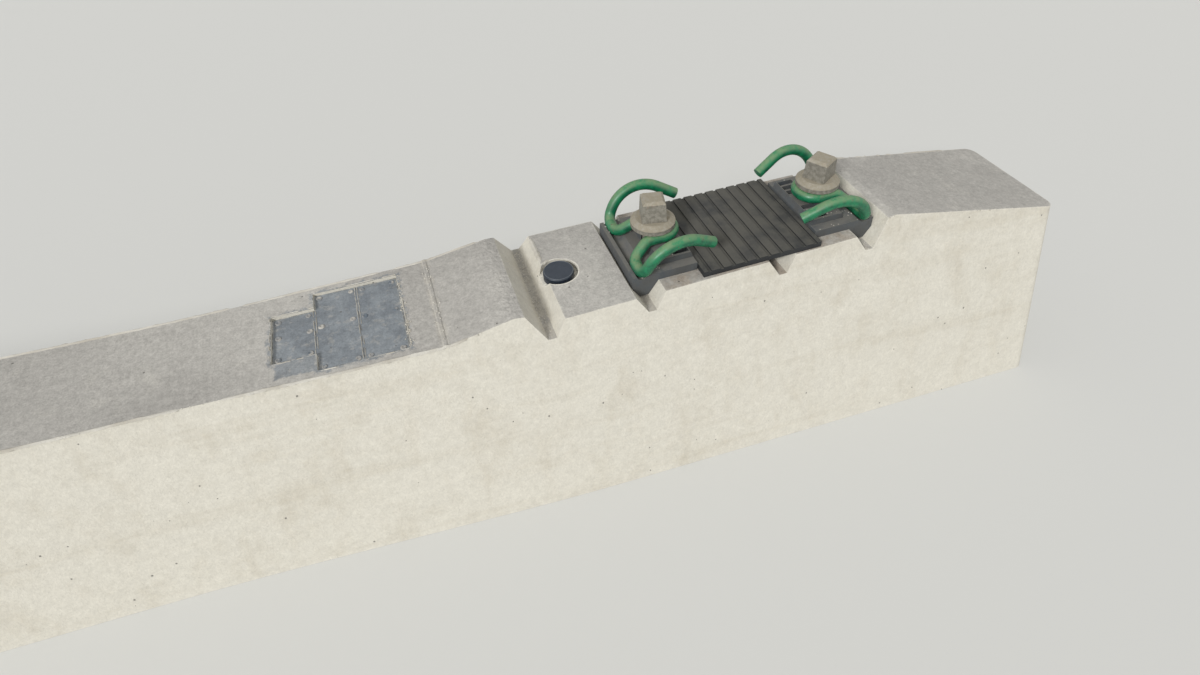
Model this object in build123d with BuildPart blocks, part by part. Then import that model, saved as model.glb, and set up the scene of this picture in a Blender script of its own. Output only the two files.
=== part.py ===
from build123d import *
from math import asin, atan, cos, sin
import os

# A prestressed concrete railway sleeper for two track gauges, with the fastenings it is delivered with.
# X runs along the sleeper, Y along the track and Z up. The origin is the middle of the underside.

# Concrete body, over all
sleeper_length = 2600.0
end_width = 300.0            # underside, at the rail seats and the ends
waist_width = 268.0          # underside, in the middle
waist_half_length = 230.0    # where the plan starts to widen
seat_half_start = 620.0      # where the plan is at full width
plan_radius = 4000.0         # blends the waist into the full width
side_batter = 0.305          # how far a side leans in for each millimetre of height
end_batter = 0.03
end_corner_radius = 14.0
mould_margin = 10.0          # how far the rough block stands past its finished outline

# Elevation of the top, heights from the underside
seat_height = 242.0          # on the axis of the wide gauge rail
seat_slope = 1 / 20          # the seats fall towards the middle of the track
middle_height = 215.0
panel_end_height = 225.5     # where the sagging middle stretch meets the mould joint
mould_joint_x = 503.0
mould_joint_width = 6.0
mould_joint_crest = 3.0
mould_joint_rise = 1.6
end_height = 231.0

# Rail seats, the same for both ends
wide_gauge_axis = 870.0      # rail axis in use
gauge_shift = 116.5          # the narrow gauge rail axis is this much nearer the middle
screw_offset = 107.0         # screw axes on both sides of a rail axis
groove_offset = 140.0        # groove axes on both sides of a rail axis
groove_half_width = 17.5
groove_depth = 19.0
groove_floor = 10.0
groove_floor_radius = 4.0
shoulder_reach = 25.0        # from the groove axis to the edge of the shoulder
shoulder_rise = 13.0         # of that edge over the seat plane
shoulder_bevel = 11.0        # the strip on top that leans towards the groove
shoulder_bevel_drop = 1.2
arris_radius = 2.5

# Sunk marking panels left by plates in the mould: three stepped ones, and one square one at the other end
panel_start = 330.0
panel_depth = 3.5
small_plate_length = 45.0
small_plate_width = 74.0
long_plate_length = 46.5
long_plate_width = 125.0
square_plate_start = -448.0
square_plate_length = 100.0
square_plate_width = 112.0
square_plate_depth = 2.5

# Dowels in the concrete, and the round recess over each
recess_diameter = 46.0
recess_depth = 8.0
dowel_diameter = 34.0
dowel_bore = 24.6
dowel_length = 140.0
dowel_floor = 6.0
dowel_clearance = 0.2

# Cap that closes an unused dowel
cap_diameter = 36.0
cap_height = 9.5             # over the recess floor, so that the cap stands just proud
cap_chamfer = 1.2
cap_stem_diameter = 23.8
cap_stem_length = 22.0
cap_wall = 2.5

# Screw spike
shank_diameter = 24.0
shank_length = 128.0
shank_point = 9.0
flange_diameter = 52.0
flange_rim = 6.0
flange_cone = 4.5
flange_edge = 1.0
flange_top_diameter = 40.0
head_side = 28.0
head_top_side = 26.0
head_height = 25.0
head_edge = 3.0

# Tension clamp, bent from round spring steel
wire_diameter = 13.0
wire_clearance = 0.3
loop_half_width = 19.5
loop_radius = 19.4           # the front bend that links the two legs
loop_front = 24.0
leg_height = 27.5
leg_knee = -15.0
leg_radius = 15.0
heel_x = -35.0
heel_height = 12.5
heel_inner_y = 28.5
heel_outer_y = 58.0
heel_radius = 13.5
arm_peak_x = -9.0            # the corner that the arm's wide bend rounds off
arm_peak_y = 67.0
arm_peak_height = 64.0
arm_radius = 41.0
toe_x = 51.0
toe_y = 53.0
toe_height = 30.5

# Guide plate
plate_width = 114.0
plate_front = 31.5
plate_slab = 10.0
plate_bearing = 4.0          # the nose bears on the groove's flank up to this far under the seat
plate_rear_slope = 1.0
heel_groove_flare = 8.0      # the heels' groove opens forwards, the way the legs rise out of it
plate_fit = 0.3              # all round the nose in its groove
nose_relief = 1.5            # the nose stops short of the groove floor
deck_width = 90.0
deck_height = 17.5
deck_rear = -13.0
deck_slope = 3.0
plate_hole = 27.0
pocket_count = 3
pocket_width = 7.5
pocket_rib = 3.0
pocket_length = 19.0
pocket_floor = 3.0
pocket_front_wall = 4.0

# Rail pad
pad_thickness = 7.0
pad_gap = 1.0                # to the guide plates
pad_width = 146.0
pad_groove_count = 10
pad_groove_width = 4.0
pad_groove_depth = 1.5

# Derived values
tilt = atan(seat_slope)
narrow_gauge_axis = wide_gauge_axis - gauge_shift
rail_axes = (narrow_gauge_axis, wide_gauge_axis)
screw_holes = sorted(axis + side * screw_offset for axis in rail_axes for side in (-1, 1))
groove_axes = sorted(axis + side * groove_offset for axis in rail_axes for side in (-1, 1))
wire_radius = wire_diameter / 2
flange_underside = leg_height + wire_radius + wire_clearance
leg_rise = (leg_height - heel_height) / (leg_knee - heel_x)
plate_hole_axis = groove_offset - screw_offset   # from the groove axis to the screw axis
sides = {"right": 1, "left": -1}


def seat_at(x):
    """Height of the seat plane at a distance from the middle of the sleeper."""
    return seat_height + (x - wide_gauge_axis) * seat_slope


def seat_plane(side, x, towards):
    """Plane on the seat: its X points along the slope, outwards for towards = 1 and inwards for -1."""
    return Plane(
        origin=(side * x, 0, seat_at(x)),
        x_dir=(side * towards * cos(tilt), 0, towards * sin(tilt)),
        z_dir=(-side * sin(tilt), 0, cos(tilt)),
    )


def section_plane(seat):
    """Upright plane through a seat plane's origin, with the seat's X across and its Z up."""
    return Plane(origin=seat.origin, x_dir=seat.x_dir, z_dir=-seat.y_dir)


def on_seat(x, along, above):
    """Point of the elevation, along the seat from x and above it."""
    return (
        x + along * cos(tilt) - above * sin(tilt),
        seat_at(x) + along * sin(tilt) + above * cos(tilt),
    )


def groove_points(axis):
    """The four corners of a groove in the seat, from the middle outwards."""
    return [
        on_seat(axis, -groove_half_width, 0),
        on_seat(axis, -groove_floor / 2, -groove_depth),
        on_seat(axis, groove_floor / 2, -groove_depth),
        on_seat(axis, groove_half_width, 0),
    ]


def groove_distance(x):
    """How far a place along the sleeper is from the nearest groove axis."""
    return min(abs(abs(x) - axis) for axis in groove_axes)


def top_outline():
    """Corners of the top from the mould joint to the end of the sleeper."""
    joint_end = mould_joint_x + mould_joint_width / 2
    inner, outer = groove_axes[0], groove_axes[-1]
    bevel_reach = shoulder_reach + shoulder_bevel
    bevel_rise = shoulder_rise + shoulder_bevel_drop
    inner_shoulder = [
        on_seat(inner, -bevel_reach, bevel_rise), on_seat(inner, -shoulder_reach, shoulder_rise)
    ]
    outer_shoulder = [
        on_seat(outer, shoulder_reach, shoulder_rise), on_seat(outer, bevel_reach, bevel_rise)
    ]
    corners = [
        (mould_joint_x - mould_joint_width / 2, panel_end_height),
        (mould_joint_x - mould_joint_crest / 2, panel_end_height + mould_joint_rise),
        (mould_joint_x + mould_joint_crest / 2, panel_end_height + mould_joint_rise),
        (joint_end, panel_end_height + mould_joint_rise / 2),
        *inner_shoulder,
        *groove_points(inner)[1:],
    ]
    for axis in groove_axes[1:-1]:
        corners += groove_points(axis)
    corners += [*groove_points(outer)[:3], *outer_shoulder]
    corners.append((sleeper_length / 2 - end_batter * end_height, end_height))
    return corners


def middle_plane(x):
    """Plane on the sagging middle stretch of the top, with its X along the sleeper."""
    half_chord = mould_joint_x - mould_joint_width / 2
    sag = panel_end_height - middle_height
    radius = (half_chord**2 + sag**2) / (2 * sag)
    lean = asin(x / radius)
    return Plane(
        origin=(x, 0, middle_height + radius * (1 - cos(lean))),
        x_dir=(cos(lean), 0, sin(lean)),
        z_dir=(-sin(lean), 0, cos(lean)),
    )


# Concrete body: the battered block, trimmed to its elevation
corners = top_outline()
block_height = max(z for x, z in corners) + mould_margin
with BuildPart() as sleeper_body:
    for height in (0, block_height):
        with BuildSketch(Plane.XY.offset(height)):
            lean = height * side_batter
            reach = sleeper_length / 2 + block_height
            with BuildLine():
                half = FilletPolyline(
                    (0, waist_width / 2 - lean),
                    (waist_half_length, waist_width / 2 - lean),
                    (seat_half_start, end_width / 2 - lean),
                    (reach, end_width / 2 - lean),
                    radius=plan_radius,
                )
                Line(half @ 1, (reach, 0))
                mirror(about=Plane.XZ)
                mirror(about=Plane.YZ)
            make_face()
    loft(ruled=True)
    with BuildSketch(Plane.XZ) as elevation:
        with BuildLine():
            ThreePointArc((-corners[0][0], corners[0][1]), (0, middle_height), corners[0])
            Polyline(*corners, (sleeper_length / 2, 0), (0, 0))
            Polyline(*[(-x, z) for x, z in corners], (-sleeper_length / 2, 0), (0, 0))
        make_face()
        floor_corners = elevation.vertices().filter_by(
            lambda v: v.Z > seat_height / 2 and groove_distance(v.X) < groove_floor
        )
        fillet(floor_corners, radius=groove_floor_radius)
        arrises = elevation.vertices().filter_by(
            lambda v: v.Z > seat_height / 2 and groove_distance(v.X) > groove_floor
            and abs(v.X) > mould_joint_x + mould_joint_width
        )
        fillet(arrises, radius=arris_radius)
    extrude(amount=end_width, both=True, mode=Mode.INTERSECT)
    by_x = sleeper_body.faces().sort_by(Axis.X)
    uprights = [
        edge for end_face in (by_x[0], by_x[-1])
        for edge in end_face.edges().filter_by(Axis.Y, reverse=True)
    ]
    fillet(uprights, radius=end_corner_radius)
    for side in sides.values():
        for x in screw_holes:
            with Locations(seat_plane(side, x, 1).location):
                CounterBoreHole(
                    radius=dowel_diameter / 2 + dowel_clearance,
                    counter_bore_radius=recess_diameter / 2,
                    counter_bore_depth=recess_depth,
                    depth=recess_depth + dowel_length + dowel_clearance,
                )
    stepped_length = small_plate_length + 2 * long_plate_length
    with BuildSketch(middle_plane(panel_start + stepped_length / 2).offset(-panel_depth)):
        with Locations(((small_plate_length - stepped_length) / 2, 0)):
            Rectangle(small_plate_length, small_plate_width)
        with Locations((small_plate_length / 2, 0)):
            Rectangle(2 * long_plate_length, long_plate_width)
    extrude(amount=2 * panel_depth, mode=Mode.SUBTRACT)
    with BuildSketch(middle_plane(square_plate_start + square_plate_length / 2).offset(-square_plate_depth)):
        Rectangle(square_plate_length, square_plate_width)
    extrude(amount=2 * square_plate_depth, mode=Mode.SUBTRACT)
sleeper_body.part.label = "sleeper_body"


# Fastenings, each made on its own stretch of the sloping seat
def make_guide_plate(seat):
    upright = section_plane(seat)
    groove_x = -plate_hole_axis
    nose_floor = -groove_depth + nose_relief
    shoulder_lean = (shoulder_reach - groove_floor / 2) / (groove_depth + shoulder_rise)

    def rear_at(height):
        """Where the shoulder's flank leaves room for the plate at a height over the seat."""
        return groove_x - groove_floor / 2 + plate_fit - (height + groove_depth) * shoulder_lean

    with BuildPart() as plate:
        with BuildSketch(upright):
            with BuildLine():
                Polyline(
                    (rear_at(nose_floor), nose_floor),
                    (rear_at(-plate_bearing), -plate_bearing),
                    (rear_at(-plate_bearing) + plate_rear_slope, plate_slab),
                    (plate_front, plate_slab),
                    (plate_front, 0),
                    (groove_x + groove_half_width - plate_fit, 0),
                    (groove_x + groove_floor / 2, nose_floor),
                    close=True,
                )
            make_face()
        extrude(amount=plate_width / 2, both=True)
        with BuildSketch(upright):
            with BuildLine():
                Polyline(
                    (deck_rear, plate_slab),
                    (deck_rear + deck_slope, deck_height),
                    (plate_front - deck_slope, deck_height),
                    (plate_front, plate_slab),
                    close=True,
                )
            make_face()
        extrude(amount=deck_width / 2, both=True)
        with BuildSketch(upright):
            with Locations(
                (heel_x, heel_height),
                (heel_x + heel_groove_flare, heel_height + heel_groove_flare * leg_rise),
            ):
                Circle(wire_radius + wire_clearance)
            make_hull()
        extrude(amount=plate_width, both=True, mode=Mode.SUBTRACT)
        with BuildSketch(seat.offset(pocket_floor)):
            for side in (-1, 1):
                for i in range(pocket_count):
                    y = deck_width / 2 - pocket_rib - pocket_width / 2 - i * (pocket_width + pocket_rib)
                    with Locations((plate_front - pocket_front_wall - pocket_length / 2, side * y)):
                        Rectangle(pocket_length, pocket_width)
        extrude(amount=deck_height, mode=Mode.SUBTRACT)
        with Locations(seat.offset(deck_height).location):
            Hole(plate_hole / 2, depth=deck_height + groove_depth)
    return plate.part


def make_tension_clamp(seat):
    with BuildPart() as clamp:
        with BuildLine(seat) as wire:
            right = [
                (toe_x, toe_y, toe_height),
                (arm_peak_x, arm_peak_y, arm_peak_height),
                (heel_x, heel_outer_y, heel_height),
                (heel_x, heel_inner_y, heel_height),
                (leg_knee, loop_half_width, leg_height),
                (loop_front, loop_half_width, leg_height),
            ]
            radii = [arm_radius, heel_radius, heel_radius, leg_radius, loop_radius]
            left = [(x, -y, z) for x, y, z in reversed(right)]
            FilletPolyline(*right, *left, radius=radii + radii[::-1])
        with BuildSketch(Plane(origin=wire.line @ 0, z_dir=wire.line % 0)):
            Circle(wire_radius)
        sweep()
    return clamp.part


def make_screw_spike(seat, turn):
    """turn is how far the square head is turned when the screw is tight, in degrees."""
    upright = section_plane(seat)
    tip = flange_underside - shank_length
    flange_top = flange_underside + flange_rim + flange_cone
    head = Plane(
        origin=seat.from_local_coords((0, 0, flange_top)), x_dir=seat.x_dir, z_dir=seat.z_dir
    ).rotated((0, 0, turn))
    with BuildPart() as spike:
        with BuildSketch(upright):
            with BuildLine():
                Polyline(
                    (0, tip),
                    (shank_diameter / 2 - shank_point / 2, tip),
                    (shank_diameter / 2, tip + shank_point),
                    (shank_diameter / 2, flange_underside),
                    (flange_diameter / 2 - flange_edge, flange_underside),
                    (flange_diameter / 2, flange_underside + flange_edge),
                    (flange_diameter / 2, flange_underside + flange_rim),
                    (flange_top_diameter / 2, flange_top),
                    (0, flange_top),
                    close=True,
                )
            make_face()
        revolve(axis=Axis(seat.origin, seat.z_dir))
        with BuildSketch(head):
            Rectangle(head_side, head_side)
        with BuildSketch(head.offset(head_height - head_edge)):
            Rectangle(head_top_side, head_top_side)
        loft()
        with BuildSketch(head.offset(head_height - head_edge)):
            Rectangle(head_top_side, head_top_side)
        extrude(amount=head_edge, taper=45)
    return spike.part


def make_dowel(seat):
    with BuildPart() as dowel:
        with BuildSketch(seat.offset(-recess_depth)):
            Circle(dowel_diameter / 2)
        extrude(amount=-dowel_length)
        with BuildSketch(seat.offset(-recess_depth)):
            Circle(dowel_bore / 2)
        extrude(amount=-(dowel_length - dowel_floor), mode=Mode.SUBTRACT)
    return dowel.part


def make_cap(seat):
    upright = section_plane(seat)
    top = cap_height - recess_depth
    stem = cap_stem_diameter / 2
    with BuildPart() as cap:
        with BuildSketch(upright):
            with BuildLine():
                Polyline(
                    (0, top - cap_wall),
                    (0, top),
                    (cap_diameter / 2 - cap_chamfer, top),
                    (cap_diameter / 2, top - cap_chamfer),
                    (cap_diameter / 2, -recess_depth),
                    (stem, -recess_depth),
                    (stem, -recess_depth - cap_stem_length),
                    (stem - cap_wall, -recess_depth - cap_stem_length),
                    (stem - cap_wall, top - cap_wall),
                    close=True,
                )
            make_face()
        revolve(axis=Axis(seat.origin, seat.z_dir))
    return cap.part


def make_rail_pad(seat):
    length = 2 * (screw_offset - plate_front - pad_gap)
    pitch = length / pad_groove_count
    with BuildPart() as pad:
        with BuildSketch(seat):
            Rectangle(length, pad_width)
        extrude(amount=pad_thickness)
        with BuildSketch(seat.offset(pad_thickness)):
            with GridLocations(pitch, pad_width, pad_groove_count, 1):
                Rectangle(pad_groove_width, pad_width)
        extrude(amount=-pad_groove_depth, mode=Mode.SUBTRACT)
    return pad.part


pieces = [sleeper_body.part]


def keep(part, label):
    part.label = label
    pieces.append(part)


head_turns = {"right_inner": -14, "right_outer": 31, "left_inner": 49, "left_outer": 8}
for name, side in sides.items():
    for place, towards in (("inner", 1), ("outer", -1)):
        seat = seat_plane(side, wide_gauge_axis - towards * screw_offset, towards)
        end = f"{name}_{place}"
        keep(make_guide_plate(seat), f"guide_plate_{end}")
        keep(make_tension_clamp(seat), f"tension_clamp_{end}")
        keep(make_screw_spike(seat, head_turns[end]), f"screw_spike_{end}")
    for number, x in enumerate(screw_holes, start=1):
        keep(make_dowel(seat_plane(side, x, 1)), f"screw_dowel_{name}_{number}")
    keep(make_cap(seat_plane(side, screw_holes[0], 1)), f"dowel_cap_{name}")
    keep(make_rail_pad(seat_plane(side, wide_gauge_axis, 1)), f"rail_pad_{name}")

os.makedirs("parts", exist_ok=True)
for piece in pieces:
    export_step(piece, f"parts/{piece.label}.step")
    print(piece.label, round(piece.volume), piece.is_valid)
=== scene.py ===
import math
import random

import bmesh
import bpy
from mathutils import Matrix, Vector, noise
from mathutils.bvhtree import BVHTree


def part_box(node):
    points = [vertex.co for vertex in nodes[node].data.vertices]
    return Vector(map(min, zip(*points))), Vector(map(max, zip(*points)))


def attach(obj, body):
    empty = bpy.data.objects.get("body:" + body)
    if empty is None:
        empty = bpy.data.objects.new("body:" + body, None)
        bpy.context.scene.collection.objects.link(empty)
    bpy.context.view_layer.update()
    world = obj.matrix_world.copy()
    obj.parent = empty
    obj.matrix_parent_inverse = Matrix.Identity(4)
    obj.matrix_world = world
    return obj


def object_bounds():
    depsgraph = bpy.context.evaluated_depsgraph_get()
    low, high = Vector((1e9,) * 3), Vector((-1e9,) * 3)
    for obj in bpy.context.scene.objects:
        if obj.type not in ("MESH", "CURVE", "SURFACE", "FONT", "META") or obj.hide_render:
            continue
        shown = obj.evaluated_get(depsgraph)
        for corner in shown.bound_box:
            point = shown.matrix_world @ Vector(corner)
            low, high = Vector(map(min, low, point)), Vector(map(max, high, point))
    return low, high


# A cast concrete railway sleeper with its fastenings. Metres, X along the sleeper, Z up.

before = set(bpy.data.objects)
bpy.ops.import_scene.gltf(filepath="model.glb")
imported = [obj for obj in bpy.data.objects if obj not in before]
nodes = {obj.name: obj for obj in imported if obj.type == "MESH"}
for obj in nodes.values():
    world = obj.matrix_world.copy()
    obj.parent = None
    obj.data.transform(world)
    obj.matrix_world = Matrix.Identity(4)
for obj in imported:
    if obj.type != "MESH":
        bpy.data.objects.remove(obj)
cadBox = [list(corner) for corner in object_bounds()]
mm = 0.001
print("frame loaded:", len(nodes), "nodes")


# Nodes and materials

def toLinear(hexCode):
    channels = [int(hexCode[i:i + 2], 16) / 255 for i in (1, 3, 5)]
    return [c / 12.92 if c <= 0.04045 else ((c + 0.055) / 1.055) ** 2.4 for c in channels] + [1.0]


def addNode(tree, kind, inputs=None, **settings):
    # an input is a value, a hex colour, a socket, or a node, which gives its first output in use
    node = tree.nodes.new(kind)
    for name, value in settings.items():
        setattr(node, name, value)
    for key, value in (inputs or {}).items():
        if isinstance(value, bpy.types.Node):
            value = next(output for output in value.outputs if output.enabled)
        if isinstance(value, bpy.types.NodeSocket):
            tree.links.new(value, node.inputs[key])
        elif isinstance(value, str):
            node.inputs[key].default_value = toLinear(value)
        else:
            node.inputs[key].default_value = value
    return node


def startMaterial(name, patterns, normal="Normal"):
    # made holds what a material's steps work on, by name. A pattern is noise, given as the size
    # of its lumps in mm, its detail, its roughness and, where it isn't even, its stretch.
    material = bpy.data.materials.new(name)
    material.use_nodes = True
    tree = material.node_tree
    tree.nodes.clear()
    place = addNode(tree, "ShaderNodeTexCoord").outputs["Object"]
    faceNormal = addNode(tree, "ShaderNodeNewGeometry").outputs[normal]
    made = dict(zip("xyz", addNode(tree, "ShaderNodeSeparateXYZ", {0: place}).outputs))
    made.update(place=place, normal=faceNormal)
    made["facing"] = addNode(tree, "ShaderNodeSeparateXYZ", {0: faceNormal}).outputs["Z"]
    for key, (sizeMm, detail, rough, *stretch) in patterns.items():
        where = place
        if stretch:
            where = addNode(tree, "ShaderNodeMapping", {"Vector": place, "Scale": stretch[0]})
        made[key] = addNode(tree, "ShaderNodeTexNoise", {
            "Vector": where, "Scale": 1000 / sizeMm, "Detail": detail, "Roughness": rough,
        })
    return material, tree, made


# What a step can do besides a Math node's operations: the node, its operands' sockets, its settings
stepKinds = {
    "ramp": ("ShaderNodeMapRange", (0, 1, 2, 4), {"interpolation_type": "SMOOTHSTEP"}),
    "tint": ("ShaderNodeMix", (6, 0, 7), {"data_type": "RGBA"}),
    "shade": ("ShaderNodeMix", (6, 7, 0), {"data_type": "RGBA", "blend_type": "MULTIPLY"}),
}


def addSteps(tree, made, steps):
    # A step is a name, an operation and its operands: numbers, hex colours or names made before it.
    # ramp: value, where it is 0, where it is full, and how much full is if not 1
    # tint: lower colour, mask, upper colour; shade: colour, brightness, how much of it
    for name, operation, *operands in steps:
        operands = [made.get(operand, operand) for operand in operands]
        if operation in stepKinds:
            kind, sockets, settings = stepKinds[operation]
            made[name] = addNode(tree, kind, dict(zip(sockets, operands)), **settings)
        elif operation == "MULTIPLY_ADD":
            made[name] = addNode(tree, "ShaderNodeMath", dict(enumerate(operands)), operation=operation)
        else:
            made[name] = operands[0]
            for operand in operands[1:] or [0.0]:
                made[name] = addNode(
                    tree, "ShaderNodeMath", {0: made[name], 1: operand}, operation=operation
                )


def finishMaterial(tree, made, bumpMm, **shader):
    # shader holds the surface's other sockets: numbers, or the name of a step
    surface = {key: made.get(value, value) for key, value in shader.items()}
    surface["Base Color"] = made["colour"]
    surface["Normal"] = addNode(
        tree, "ShaderNodeBump", {"Height": made["height"], "Strength": 1.0, "Distance": bumpMm * mm}
    )
    principled = addNode(tree, "ShaderNodeBsdfPrincipled", surface)
    addNode(tree, "ShaderNodeOutputMaterial", {"Surface": principled})


# Concrete: cast against steel, with fine sand grain, pores and pale worn arrises

concrete = {
    "top": "#B6B3AC",          # surfaces that face up
    "topDark": "#A3A09A",
    # the side colour is partly painted light: painted lighter than the top, as a side facing the sun looks
    "side": "#CECABE",         # smoother, cleaner and warmer
    "sideStain": "#BBB4A4",
    "grime": "#B2AB9B",        # beige fines that wash into grooves
    "seatRust": "#92806B",     # brown film on the rail seats
    # the pore colour is painted shade inside the pits; the fine cracks use the same colour
    "pore": "#5F5D58",
    "panel": "#7A8289",        # where a steel plate lay in the mould
    "panelDark": "#636C75",
    "arris": "#D3CFC3",
    # the rim colour is partly a painted highlight, a bright ring round the recess, and partly paste
    "rim": "#E4E0D4",          # paste squeezed up round the recess
    "poreMm": 13,              # how far pores are apart
    "arrisMm": 3.5,            # how wide an arris is rubbed
    "bumpMm": 0.9,
    "patterns": {
        "cloud": (260, 3, 0.5),
        "blotch": (38, 4, 0.6),
        "mottle": (8, 4, 0.65),
        "grain": (2.6, 3, 0.7),               # sand is finer, drawn coarser so that it shows
        "drag": (60, 4, 0.6, (0.12, 1, 1)),   # faint streaks along the top
        "stains": (45, 6, 0.7),
        "pours": (30, 4, 0.6, (0.06, 1, 1)),  # lines left on the sides by the layers poured
        "drips": (26, 3, 0.5, (1, 1, 0.12)),
        "edging": (7, 4, 0.7),                # makes the panels' stained edges ragged
        "scuff": (11, 5, 0.7),
        "fissure": (14, 2, 0.5),
        "dirt": (16, 4, 0.5),
        "rustFilm": (22, 5, 0.7),
        "wave": (6, 3, 0.5, (1, 0.3, 1)),     # fine wrinkles across the sleeper
        "wrinkled": (70, 3, 0.5),
        "lump": (5, 3, 0.5),
    },
}
bodyShape = {                  # the concrete's own sizes, as its solid has them
    "middleHeight": 0.215,
    "arcRadius": 11.91,        # of the sagging middle stretch of the top
    "seatHeight": 0.242,
    "seatAxis": 0.870,
    "seatSlope": 0.05,
    "mouldJoint": 0.503,
    "shoulder": 0.5886,
    "grooves": (0.585, 1.036),               # from the first groove's edge to the last one's
    "grooveAxes": (0.6135, 1.0100),          # the open one, and the one that shows at a plate's end
    "recessAxis": 0.6465,
    "recessRadius": 0.0236,
}
markingPlates = {
    "edgesMm": (330, 375, 421.5, 468),       # along the sleeper, from the small plate outwards
    "halfWidthsMm": (37, 62.5, 62.5),
    "squareMm": (-448, -348, 56),            # the one plate of the other end
    "stainMm": 5,                            # how far release oil bled past the plates
    "raggedMm": 24,
    "patchMm": (334, 373, -61, -37),         # oily patch beside the small plate: its x and y limits
}


def rectangleSteps(name, lowX, highX, lowY, highY):
    # how far a point lies outside a rectangle given in millimetres, negative inside
    steps = []
    for axis, low, high in (("x", lowX, highX), ("y", lowY, highY)):
        steps += [
            (name + axis, "SUBTRACT", axis, (low + high) / 2 * mm),
            (name + axis, "ABSOLUTE", name + axis),
            (name + axis, "SUBTRACT", name + axis, (high - low) / 2 * mm),
        ]
    return steps + [(name, "MAXIMUM", name + "x", name + "y")]


def plateSteps():
    # how far a point lies outside the nearest marking plate and outside the oily patch
    edges = markingPlates["edgesMm"]
    outlines = list(zip(edges, edges[1:], markingPlates["halfWidthsMm"])) + [markingPlates["squareMm"]]
    names = ["plate%d" % number for number in range(len(outlines))]
    steps = rectangleSteps("offPatch", *markingPlates["patchMm"])
    for name, (low, high, half) in zip(names, outlines):
        steps += rectangleSteps(name, low, high, -half, half)
    return steps + [("offPlates", "MINIMUM", *names)]


def placeSteps():
    # where a point lies: along the sleeper, and under the line of the top and of the rail seat
    return [
        ("away", "ABSOLUTE", "x"),
        ("fromJoint", "SUBTRACT", "away", bodyShape["mouldJoint"]),
        ("fromJoint", "ABSOLUTE", "fromJoint"),
        ("sag", "MULTIPLY", "away", "away", 0.5 / bodyShape["arcRadius"]),
        ("underTop", "ADD", "sag", bodyShape["middleHeight"]),
        ("underTop", "SUBTRACT", "underTop", "z"),
        ("fromSeat", "SUBTRACT", "away", bodyShape["seatAxis"]),
        ("underSeat", "MULTIPLY_ADD", "fromSeat", bodyShape["seatSlope"], bodyShape["seatHeight"]),
        ("underSeat", "SUBTRACT", "underSeat", "z"),
        ("fromSeat", "ABSOLUTE", "fromSeat"),
        ("fromRecess", "SUBTRACT", "away", bodyShape["recessAxis"]),
        ("fromRecess", "MULTIPLY", "fromRecess", "fromRecess"),
        ("fromRecess", "MULTIPLY_ADD", "y", "y", "fromRecess"),
        ("fromRecess", "SQRT", "fromRecess"),
    ]


def maskSteps():
    # masks that are 1 on a feature of the concrete and 0 off it
    firstGroove, lastGroove = bodyShape["grooves"]
    joint, shoulder, recess = [bodyShape[key] for key in ("mouldJoint", "shoulder", "recessRadius")]
    ragged = markingPlates["raggedMm"] * mm
    return [
        ("leansUp", "ramp", "facing", 0.3, 0.6),
        ("atJoint", "ramp", "fromJoint", 7 * mm, 4 * mm),
        ("atJoint", "MULTIPLY", "atJoint", "leansUp"),
        ("upward", "ramp", "facing", 0.45, 0.9),
        ("upward", "MAXIMUM", "upward", "atJoint"),
        ("betweenJoints", "ramp", "away", joint - 3 * mm, joint - 13 * mm),
        ("inPanel", "ramp", "underTop", 1.2 * mm, 2.0 * mm),
        ("inPanel", "MULTIPLY", "inPanel", "upward", "betweenJoints"),
        ("pastShoulder", "ramp", "away", firstGroove, firstGroove + 15 * mm),
        ("beforeEnd", "ramp", "away", lastGroove, lastGroove - 6 * mm),
        ("inGroove", "ramp", "underSeat", 8 * mm, 20 * mm),
        ("inGroove", "MULTIPLY", "inGroove", "pastShoulder", "beforeEnd", "leansUp"),
        ("sunk", "ramp", "underSeat", 0.3 * mm, 1.2 * mm, 0.8),
        # the recess and the ring round it are painted pale, partly as painted light on a sunlit wall and
        # edge
        ("inRecess", "ramp", "fromRecess", recess, recess - 0.5 * mm),
        ("inRecess", "MULTIPLY", "inRecess", "sunk"),
        ("atRim", "ramp", "fromRecess", recess + 1.2 * mm, recess + 0.3 * mm, 0.75),
        ("rimPatches", "ramp", "blotch", 0.3, 0.5),
        ("atRim", "MULTIPLY", "atRim", "upward", "rimPatches"),
        ("seatFilm", "ramp", "fromSeat", 0.165, 0.1, 0.55),
        ("rustFilm", "ramp", "rustFilm", 0.3, 0.65),
        ("seatFilm", "MULTIPLY", "seatFilm", "upward", "rustFilm"),
        # oil stains round the panels, with ragged edges and fine cracks
        ("edging", "MULTIPLY_ADD", "edging", ragged, -0.5 * ragged),
        ("oiled", "ADD", "offPlates", "edging"),
        ("oiled", "ramp", "oiled", markingPlates["stainMm"] * mm, 0.0),
        ("patch", "MULTIPLY_ADD", "edging", 0.5, "offPatch"),
        ("patch", "ramp", "patch", 1.5 * mm, -1.5 * mm),
        ("oiled", "MAXIMUM", "oiled", "patch"),
        ("oiled", "MULTIPLY", "oiled", "upward", 0.7),
        ("crack", "MULTIPLY_ADD", "edging", 0.22, "offPlates"),
        ("crack", "ABSOLUTE", "crack"),
        ("crack", "ramp", "crack", 1.0 * mm, 0.3 * mm, 0.7),
        ("fissure", "ramp", "fissure", 0.42, 0.52),
        ("crack", "MULTIPLY", "crack", "upward", "fissure"),
        # the skin is pulled and lumpy just before the shoulder
        ("pulled", "ramp", "away", shoulder - 40 * mm, shoulder - 15 * mm),
        ("beforeShoulder", "ramp", "away", shoulder + 4 * mm, shoulder - 4 * mm),
        ("pulled", "MULTIPLY", "pulled", "beforeShoulder", "upward", "lump"),
        # pores are fewer on the top
        ("poreless", "MULTIPLY_ADD", "upward", 0.3, 0.5),
        ("poreSize", "ramp", "poreSeed", "poreless", 1.0, 0.09),
        ("pore", "LESS_THAN", "poreReach", "poreSize"),
    ]


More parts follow.
